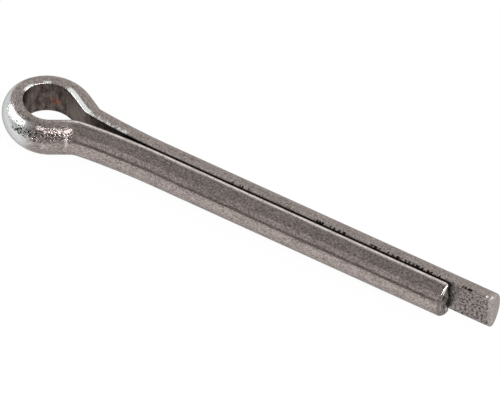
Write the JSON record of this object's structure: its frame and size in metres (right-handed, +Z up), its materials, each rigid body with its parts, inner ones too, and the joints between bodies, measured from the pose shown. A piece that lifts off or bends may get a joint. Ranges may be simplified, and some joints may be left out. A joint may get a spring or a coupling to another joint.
{
  "type": "cotter pin",
  "caption": "Split cotter pin folded from half-round steel wire, with an open eye and unequal legs, to lock a nut or clevis pin.",
  "frame": {"origin": "the seat: the middle of the pin where it fills the mouth of its hole, just under the eye", "axes": "+X along the closed legs, from the eye to the tips; +Y across the eye, from the short leg to the long leg; +Z up through the eye's opening, with the pin lying on its side"},
  "size_m": [0.0448, 0.0071, 0.0036],
  "materials": {
    "stainless_steel": "drawn wire, dull, with fine marks along it"
  },
  "bodies": {
    "root": {"cotter_pin": "stainless_steel"}
  },
  "joints": []
}
